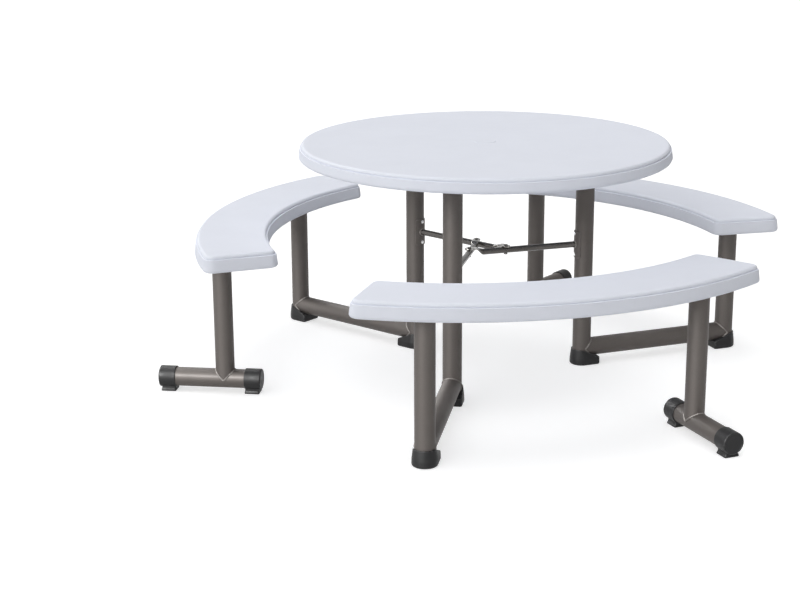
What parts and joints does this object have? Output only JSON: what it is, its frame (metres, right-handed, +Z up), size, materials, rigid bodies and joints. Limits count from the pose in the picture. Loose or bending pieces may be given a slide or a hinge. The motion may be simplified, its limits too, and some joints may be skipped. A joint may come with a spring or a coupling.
{
  "type": "round table with swing-out benches",
  "caption": "Round moulded table on a braced steel tube frame, with curved bench seats that swing outward on pivot legs and stand on T-shaped feet.",
  "frame": {"origin": "on the floor, under the middle of the part's bounding box with the benches closed", "axes": "+Z up; -Y towards the viewer of the picture, with the front bench at -Y; the table's axis is parallel to Z"},
  "size_m": [1.905, 1.8414, 0.7238],
  "materials": {
    "moulded_plastic": "blow-moulded, fine pebble grain",
    "frame_paint": "satin powder coat, bronze grey",
    "brace_paint": "satin powder coat, dark bronze",
    "foot_plastic": "moulded, matt",
    "bushing_plastic": "natural nylon",
    "bare_steel": "zinc plated"
  },
  "bodies": {
    "table_frame": {"table_top": "moulded_plastic", "table_leg_1": "frame_paint", "table_leg_plate_1": "frame_paint", "floor_tube_1": "frame_paint", "pivot_leg_1": "frame_paint", "table_leg_foot_1": "foot_plastic", "pivot_leg_foot_1": "foot_plastic", "pivot_bushing_1": "bushing_plastic", "brace_tube_1": "brace_paint", "brace_saddle_1": "brace_paint", "brace_bolt_1": "bare_steel", "brace_nut_1": "bare_steel", "table_leg_2": "frame_paint", "table_leg_plate_2": "frame_paint", "floor_tube_2": "frame_paint", "pivot_leg_2": "frame_paint", "table_leg_foot_2": "foot_plastic", "pivot_leg_foot_2": "foot_plastic", "pivot_bushing_2": "bushing_plastic", "brace_tube_2": "brace_paint", "brace_saddle_2": "brace_paint", "brace_bolt_2": "bare_steel", "brace_nut_2": "bare_steel", "table_leg_3": "frame_paint", "table_leg_plate_3": "frame_paint", "floor_tube_3": "frame_paint", "pivot_leg_3": "frame_paint", "table_leg_foot_3": "foot_plastic", "pivot_leg_foot_3": "foot_plastic", "pivot_bushing_3": "bushing_plastic", "brace_tube_3": "brace_paint", "brace_saddle_3": "brace_paint", "brace_bolt_3": "bare_steel", "brace_nut_3": "bare_steel"},
    "hole_plug": {"pole_hole_plug": "moulded_plastic"},
    "bench_1": {"seat_1": "moulded_plastic", "pivot_post_1": "bare_steel", "pivot_plate_1": "frame_paint", "free_leg_1": "frame_paint", "free_leg_plate_1": "frame_paint", "foot_tube_1": "frame_paint", "foot_cap_outer_1": "foot_plastic", "foot_cap_inner_1": "foot_plastic"},
    "bench_2": {"seat_2": "moulded_plastic", "pivot_post_2": "bare_steel", "pivot_plate_2": "frame_paint", "free_leg_2": "frame_paint", "free_leg_plate_2": "frame_paint", "foot_tube_2": "frame_paint", "foot_cap_outer_2": "foot_plastic", "foot_cap_inner_2": "foot_plastic"},
    "bench_3": {"seat_3": "moulded_plastic", "pivot_post_3": "bare_steel", "pivot_plate_3": "frame_paint", "free_leg_3": "frame_paint", "free_leg_plate_3": "frame_paint", "foot_tube_3": "frame_paint", "foot_cap_outer_3": "foot_plastic", "foot_cap_inner_3": "foot_plastic"}
  },
  "joints": [
    {"name": "bench_1_swing", "type": "hinge", "parent": "table_frame", "child": "bench_1", "pos_m": [-0.15945, -0.83689, 0], "axis": [0, 0, -1], "range_deg": [0, 50]},
    {"name": "bench_2_swing", "type": "hinge", "parent": "table_frame", "child": "bench_2", "pos_m": [0.82863, 0.20288, 0], "axis": [0, 0, -1], "range_deg": [0, 50]},
    {"name": "bench_3_swing", "type": "hinge", "parent": "table_frame", "child": "bench_3", "pos_m": [-0.56587, 0.5387, 0], "axis": [0, 0, -1], "range_deg": [0, 50]},
    {"name": "hole_plug_lift", "type": "slide", "parent": "table_frame", "child": "hole_plug", "axis": [0, 0, 1], "range_m": [0, 0.04]}
  ]
}
